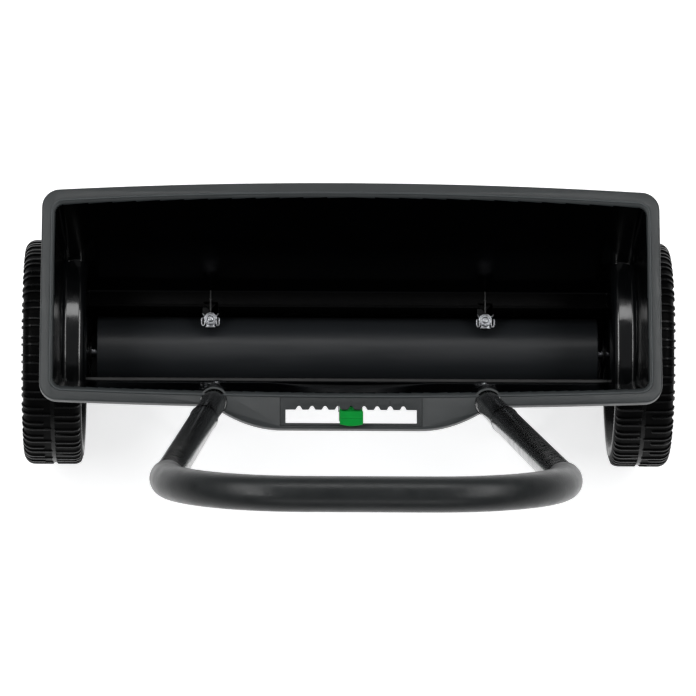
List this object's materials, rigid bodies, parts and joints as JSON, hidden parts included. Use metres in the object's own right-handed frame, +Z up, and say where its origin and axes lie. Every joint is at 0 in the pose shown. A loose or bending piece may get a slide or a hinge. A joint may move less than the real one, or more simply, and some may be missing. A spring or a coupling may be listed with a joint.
{
  "type": "push lawn drop spreader",
  "caption": "Walk-behind drop spreader: open black hopper with a feed roller in its floor, ribbed plastic wheels, rate lever in a notched window and a U-shaped push handle",
  "frame": {"origin": "middle of the footprint, on the ground", "axes": "+Z up, +Y the way it is pushed, +X to the operator's right"},
  "size_m": [0.6, 0.4734, 1.0027],
  "materials": {
    "rim_plastic": "moulded black polypropylene, fine satin grain",
    "scale_plastic": "moulded black plastic, slightly greyer",
    "wheel_plastic": "deep black moulded plastic, satin",
    "roller_plastic": "extruded dark plastic, satin",
    "green_plastic": "bright green moulded plastic",
    "black_tube": "black gloss coating on thin steel tube",
    "grip_vinyl": "dark grey satin vinyl sleeve",
    "zinc_steel": "bright zinc plating",
    "rubber": "black rubber",
    "bush_nylon": "dark grey nylon"
  },
  "bodies": {
    "spreader_body": {"hopper": "rim_plastic", "metering_tray": "rim_plastic", "scale_plate": "scale_plastic", "upper_handle": "black_tube", "left_lower_tube": "black_tube", "right_lower_tube": "black_tube", "handle_grip": "grip_vinyl", "front_shutter_rail": "zinc_steel", "rear_shutter_rail": "zinc_steel", "lever_washer": "zinc_steel", "lever_pin": "zinc_steel", "left_clip": "zinc_steel", "right_clip": "zinc_steel", "left_clip_washer": "zinc_steel", "right_clip_washer": "zinc_steel", "left_clip_screw": "zinc_steel", "right_clip_screw": "zinc_steel", "left_tube_bolt": "zinc_steel", "right_tube_bolt": "zinc_steel", "left_stand_leg": "zinc_steel", "right_stand_leg": "zinc_steel", "tray_screw_1": "zinc_steel", "tray_screw_2": "zinc_steel", "tray_screw_3": "zinc_steel", "tray_screw_4": "zinc_steel", "seal_strip": "rubber", "left_tube_plug": "rubber", "right_tube_plug": "rubber", "left_foot": "rubber", "right_foot": "rubber", "left_bush": "bush_nylon", "right_bush": "bush_nylon"},
    "axle_assembly": {"axle": "zinc_steel", "feed_roller": "roller_plastic", "left_roller_end": "roller_plastic", "right_roller_end": "roller_plastic", "left_wheel": "wheel_plastic", "left_hub_cap": "wheel_plastic", "left_washer": "zinc_steel", "right_washer": "zinc_steel", "left_push_clip": "zinc_steel", "right_push_clip": "zinc_steel", "left_spacer": "bush_nylon", "right_spacer": "bush_nylon"},
    "free_wheel": {"right_wheel": "wheel_plastic", "right_hub_cap": "wheel_plastic"},
    "rate_lever": {"rate_lever": "zinc_steel", "rate_knob": "green_plastic"},
    "shutter": {"shutter_plate": "zinc_steel"}
  },
  "joints": [
    {"name": "axle_spin", "type": "hinge", "parent": "spreader_body", "child": "axle_assembly", "pos_m": [0, 0.1302, 0.105], "axis": [1, 0, 0], "continuous": true},
    {"name": "free_wheel_spin", "type": "hinge", "parent": "spreader_body", "child": "free_wheel", "pos_m": [0.27325, 0.1302, 0.105], "axis": [1, 0, 0], "continuous": true},
    {"name": "rate_lever_swing", "type": "hinge", "parent": "spreader_body", "child": "rate_lever", "pos_m": [0, 0.0682, 0.118], "axis": [0, 0.9647, 0.2634], "range_deg": [-14, 14]},
    {"name": "shutter_slide", "type": "slide", "parent": "spreader_body", "child": "shutter", "axis": [1, 0, 0], "range_m": [-0.0078, 0.0078]}
  ],
  "couplings": [
    {"joint": "shutter_slide", "follows": "rate_lever_swing", "m_per_rad": -0.03}
  ]
}
